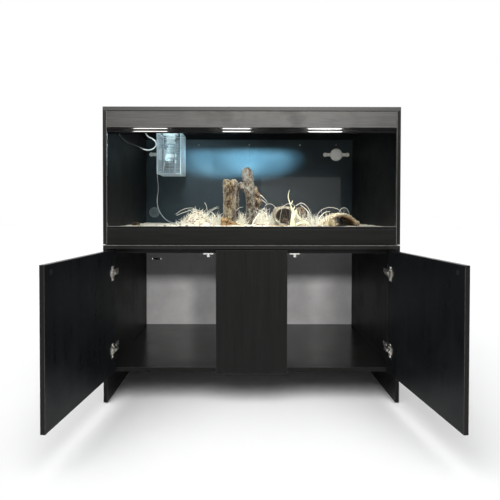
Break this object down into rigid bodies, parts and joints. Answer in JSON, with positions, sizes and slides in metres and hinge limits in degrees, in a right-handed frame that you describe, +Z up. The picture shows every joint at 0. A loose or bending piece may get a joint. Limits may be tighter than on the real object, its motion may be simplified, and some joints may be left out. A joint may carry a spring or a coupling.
{
  "type": "terrarium cabinet",
  "caption": "Free-standing black reptile vivarium with two sliding glass panes over a cupboard with two side-hung doors, a fixed centre panel and a fitted interior.",
  "frame": {"origin": "on the ground, in the middle of the whole object's box with its doors open as at rest", "axes": "+Z up, -Y towards the front, +X to the right when seen from the front"},
  "size_m": [1.2106, 0.9934, 1.15],
  "materials": {
    "black_board": "satin black wood-grain melamine on board",
    "door_board": "satin black wood-grain melamine on board",
    "back_board": "smooth dark painted hardboard",
    "black_plastic": "satin black moulded plastic",
    "nickel": "bright nickel-plated steel",
    "cam_zinc": "die-cast zinc",
    "latch_plastic": "white moulded plastic",
    "pad_rubber": "matt black rubber",
    "clear_glass": "clear float glass with polished edges",
    "vent_plastic": "grey moulded plastic",
    "dark_vent_plastic": "dark grey moulded plastic",
    "hood_sheet": "white painted folded sheet",
    "light_glass": "frosted white light tube",
    "white_lead": "white round cable sheath",
    "grey_lead": "grey thin cable sheath",
    "probe_plastic": "black moulded probe",
    "guard_wire": "zinc-plated perforated mesh",
    "white_ceramic": "white glazed ceramic",
    "bulb_glass": "pearl reflector bulb glass",
    "sand": "pale dry sand",
    "cork": "rough dry cork bark"
  },
  "bodies": {
    "carcass": {"foot_glides": "black_plastic", "cupboard_side_left": "black_board", "cupboard_side_right": "black_board", "cupboard_floor": "black_board", "cupboard_top": "black_board", "cupboard_rail": "black_board", "cupboard_back": "back_board", "centre_panel": "black_board", "centre_brackets": "nickel", "cam_locks": "cam_zinc", "hinge_arms_left": "nickel", "hinge_arms_right": "nickel", "hinge_screws": "nickel", "latch_bodies": "nickel", "latch_springs": "nickel", "vivarium_pads": "pad_rubber", "vivarium_side_left": "black_board", "vivarium_side_right": "black_board", "vivarium_floor": "black_board", "vivarium_top": "black_board", "vivarium_back": "back_board", "upper_fascia": "black_board", "lower_fascia": "black_board", "top_runner": "black_plastic", "bottom_runner": "black_plastic", "upper_vent_left": "vent_plastic", "upper_vent_right": "vent_plastic", "lower_vent_left": "dark_vent_plastic", "lower_vent_right": "dark_vent_plastic", "back_screws": "nickel", "light_hood": "hood_sheet", "light_tube": "light_glass", "light_caps": "black_plastic", "ceiling_glands": "black_plastic", "light_lead": "white_lead", "lamp_guard": "guard_wire", "lamp_rose": "white_ceramic", "lamp_holder": "white_ceramic", "lamp_bulb": "bulb_glass", "probe_lead": "grey_lead", "probe_tip": "probe_plastic", "sand_bed": "sand", "cork_tube": "cork", "cork_branch": "cork", "cork_log": "cork", "bark_arch": "cork"},
    "door_left": {"door_left": "door_board", "hinge_cups_left": "nickel", "latch_disc_left": "nickel"},
    "door_right": {"door_right": "door_board", "hinge_cups_right": "nickel", "latch_disc_right": "nickel"},
    "latch_plunger_left": {"latch_plunger_left": "latch_plastic"},
    "latch_plunger_right": {"latch_plunger_right": "latch_plastic"},
    "glass_left": {"glass_left": "clear_glass"},
    "glass_right": {"glass_right": "clear_glass"},
    "guard_hatch": {"guard_hatch": "guard_wire"}
  },
  "joints": [
    {"name": "door_left_hinge", "type": "hinge", "parent": "carcass", "child": "door_left", "pos_m": [-0.5445, -0.09578, 0.36], "axis": [0, 0, 1], "range_deg": [-12, 97.6]},
    {"name": "door_right_hinge", "type": "hinge", "parent": "carcass", "child": "door_right", "pos_m": [0.5445, -0.09578, 0.36], "axis": [0, 0, -1], "range_deg": [-12, 97.6]},
    {"name": "latch_left_push", "type": "slide", "parent": "carcass", "child": "latch_plunger_left", "axis": [0, 1, 0], "range_m": [0, 0.004], "stiffness_N_per_m": 120},
    {"name": "latch_right_push", "type": "slide", "parent": "carcass", "child": "latch_plunger_right", "axis": [0, 1, 0], "range_m": [0, 0.004], "stiffness_N_per_m": 120},
    {"name": "glass_left_slide", "type": "slide", "parent": "carcass", "child": "glass_left", "axis": [1, 0, 0], "range_m": [0, 0.549]},
    {"name": "glass_right_slide", "type": "slide", "parent": "carcass", "child": "glass_right", "axis": [1, 0, 0], "range_m": [-0.549, 0]},
    {"name": "guard_hatch_hinge", "type": "hinge", "parent": "carcass", "child": "guard_hatch", "pos_m": [-0.3604, 0.26322, 1.002], "axis": [0, 0, 1], "range_deg": [0, 110]}
  ]
}
